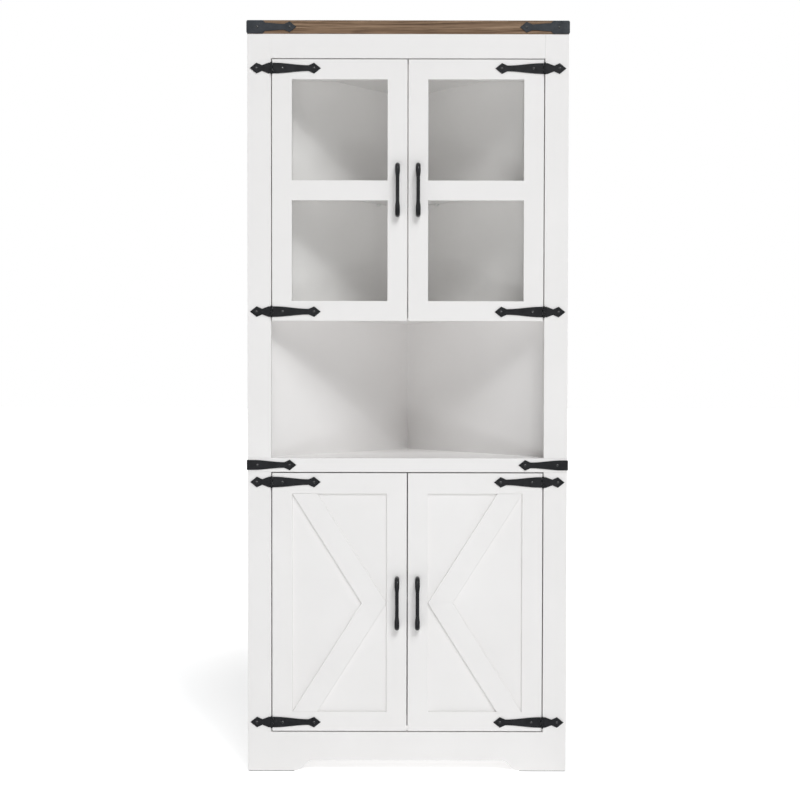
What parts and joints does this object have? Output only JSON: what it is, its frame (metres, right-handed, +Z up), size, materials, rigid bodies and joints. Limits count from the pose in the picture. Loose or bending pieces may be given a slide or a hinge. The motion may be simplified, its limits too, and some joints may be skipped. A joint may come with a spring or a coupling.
{
  "type": "corner pantry cabinet",
  "caption": "Tall corner pantry cabinet: braced doors below, an open niche, glazed doors above, wooden top, black strap hinges and bow handles.",
  "frame": {"origin": "on the floor, under the middle of the cabinet's bounding box", "axes": "+Z up, +X to the right of someone facing the doors, -Y out of the front, +Y towards the rear corner"},
  "size_m": [0.772, 0.432, 1.8045],
  "materials": {
    "white_paint": "satin white paint on fibreboard",
    "top_wood": "rustic brown woodgrain, grain along the front",
    "black_iron": "black powder coat, slightly hammered",
    "black_screws": "black coated screw heads",
    "clear_glass": "clear float glass",
    "bright_steel": "zinc plated steel",
    "white_plastic": "white moulded plastic",
    "clip_plastic": "pale moulded plastic",
    "felt": "dark felt",
    "beech": "bare beech"
  },
  "bodies": {
    "cabinet": {"plinth_rail": "white_paint", "base_left_wall": "white_paint", "base_right_wall": "white_paint", "base_left_stile": "white_paint", "base_right_stile": "white_paint", "base_floor": "white_paint", "base_shelf": "white_paint", "deck_board": "white_paint", "hutch_left_wall": "white_paint", "hutch_right_wall": "white_paint", "hutch_left_stile": "white_paint", "hutch_right_stile": "white_paint", "header_rail": "white_paint", "hutch_floor": "white_paint", "hutch_ceiling": "white_paint", "hutch_shelf": "white_paint", "top_board": "top_wood", "shelf_supports": "white_plastic", "foot_pads": "felt", "dowels": "beech", "wall_screws": "bright_steel", "carcass_screws": "black_screws", "top_left_strap": "black_iron", "top_right_strap": "black_iron", "deck_left_strap": "black_iron", "deck_right_strap": "black_iron", "hinge_pins": "black_iron", "door_catches": "white_plastic", "upper_left_frame_leaves": "black_iron", "upper_right_frame_leaves": "black_iron", "lower_left_frame_leaves": "black_iron", "lower_right_frame_leaves": "black_iron"},
    "upper_left_door": {"upper_left_door_frame": "white_paint", "upper_left_glass": "clear_glass", "upper_left_glass_clips": "clip_plastic", "upper_left_handle": "black_iron", "upper_left_door_leaves": "black_iron", "upper_left_door_screws": "black_screws", "upper_left_strike_plate": "bright_steel"},
    "upper_right_door": {"upper_right_door_frame": "white_paint", "upper_right_glass": "clear_glass", "upper_right_glass_clips": "clip_plastic", "upper_right_handle": "black_iron", "upper_right_door_leaves": "black_iron", "upper_right_door_screws": "black_screws", "upper_right_strike_plate": "bright_steel"},
    "lower_left_door": {"lower_left_door_panel": "white_paint", "lower_left_door_frame": "white_paint", "lower_left_braces": "white_paint", "lower_left_handle": "black_iron", "lower_left_door_leaves": "black_iron", "lower_left_door_screws": "black_screws", "lower_left_strike_plate": "bright_steel"},
    "lower_right_door": {"lower_right_door_panel": "white_paint", "lower_right_door_frame": "white_paint", "lower_right_braces": "white_paint", "lower_right_handle": "black_iron", "lower_right_door_leaves": "black_iron", "lower_right_door_screws": "black_screws", "lower_right_strike_plate": "bright_steel"}
  },
  "joints": [
    {"name": "upper_left_door_hinge", "type": "hinge", "parent": "cabinet", "child": "upper_left_door", "pos_m": [-0.3264, -0.1892, 1.3998], "axis": [0, 0, -1], "range_deg": [0, 135]},
    {"name": "upper_right_door_hinge", "type": "hinge", "parent": "cabinet", "child": "upper_right_door", "pos_m": [0.3264, -0.1892, 1.3998], "axis": [0, 0, 1], "range_deg": [0, 135]},
    {"name": "lower_left_door_hinge", "type": "hinge", "parent": "cabinet", "child": "lower_left_door", "pos_m": [-0.3264, -0.1892, 0.4099], "axis": [0, 0, -1], "range_deg": [0, 135]},
    {"name": "lower_right_door_hinge", "type": "hinge", "parent": "cabinet", "child": "lower_right_door", "pos_m": [0.3264, -0.1892, 0.4099], "axis": [0, 0, 1], "range_deg": [0, 135]}
  ]
}
